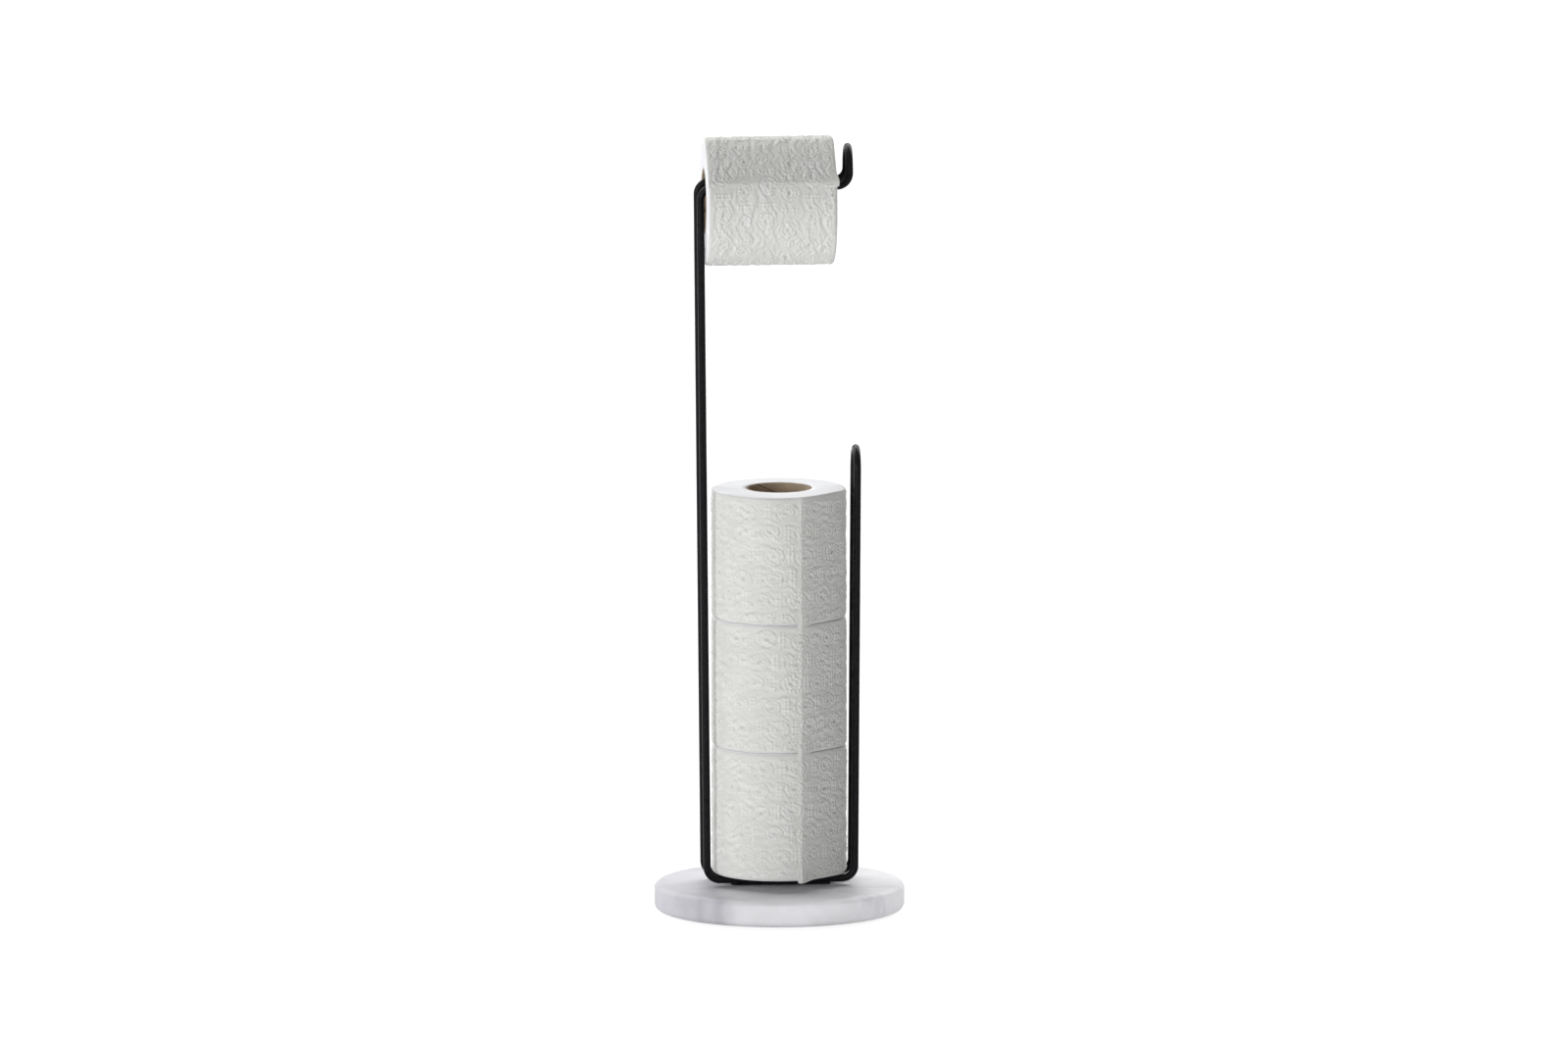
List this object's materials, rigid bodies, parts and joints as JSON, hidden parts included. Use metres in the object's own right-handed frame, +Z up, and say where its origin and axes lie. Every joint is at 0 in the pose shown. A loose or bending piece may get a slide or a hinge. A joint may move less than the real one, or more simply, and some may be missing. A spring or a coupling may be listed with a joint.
{
  "type": "toilet paper stand",
  "caption": "Free-standing toilet paper stand: a looped black wire frame on a round marble base, with rolls stored between its uprights and one turning on its arm.",
  "frame": {"origin": "middle of the marble base, on the floor under its foot pads", "axes": "+Z up, +X along the arm from the tall uprights to the end loop, -Y towards the front"},
  "size_m": [0.2, 0.2, 0.6235],
  "materials": {
    "marble": "satin",
    "black_coat": "satin",
    "zinc_steel": "satin",
    "foot_rubber": "matte",
    "cardboard": "matte",
    "tissue": "matte"
  },
  "bodies": {
    "stand": {"marble_base": "marble", "wire_frame": "black_coat", "mounting_plate": "black_coat", "weld_nut_left": "zinc_steel", "weld_nut_right": "zinc_steel", "base_screw_left": "zinc_steel", "base_screw_right": "zinc_steel", "screw_washer_left": "zinc_steel", "screw_washer_right": "zinc_steel", "foot_pad_front_left": "foot_rubber", "foot_pad_front_right": "foot_rubber", "foot_pad_rear_left": "foot_rubber", "foot_pad_rear_right": "foot_rubber"},
    "hanging_roll": {"hanging_core": "cardboard", "hanging_paper": "tissue"},
    "stored_roll_bottom": {"stored_bottom_core": "cardboard", "stored_bottom_paper": "tissue"},
    "stored_roll_middle": {"stored_middle_core": "cardboard", "stored_middle_paper": "tissue"},
    "stored_roll_top": {"stored_top_core": "cardboard", "stored_top_paper": "tissue"}
  },
  "joints": [
    {"name": "hanging_roll_spin", "type": "hinge", "parent": "stand", "child": "hanging_roll", "pos_m": [-0.00795, 0, 0.57251], "axis": [1, 0, 0], "continuous": true},
    {"name": "stored_roll_bottom_draw_out", "type": "slide", "parent": "stand", "child": "stored_roll_bottom", "axis": [0, -1, 0], "range_m": [0, 0.12]},
    {"name": "stored_roll_middle_draw_out", "type": "slide", "parent": "stand", "child": "stored_roll_middle", "axis": [0, -1, 0], "range_m": [0, 0.12]},
    {"name": "stored_roll_top_draw_out", "type": "slide", "parent": "stand", "child": "stored_roll_top", "axis": [0, -1, 0], "range_m": [0, 0.12]}
  ]
}
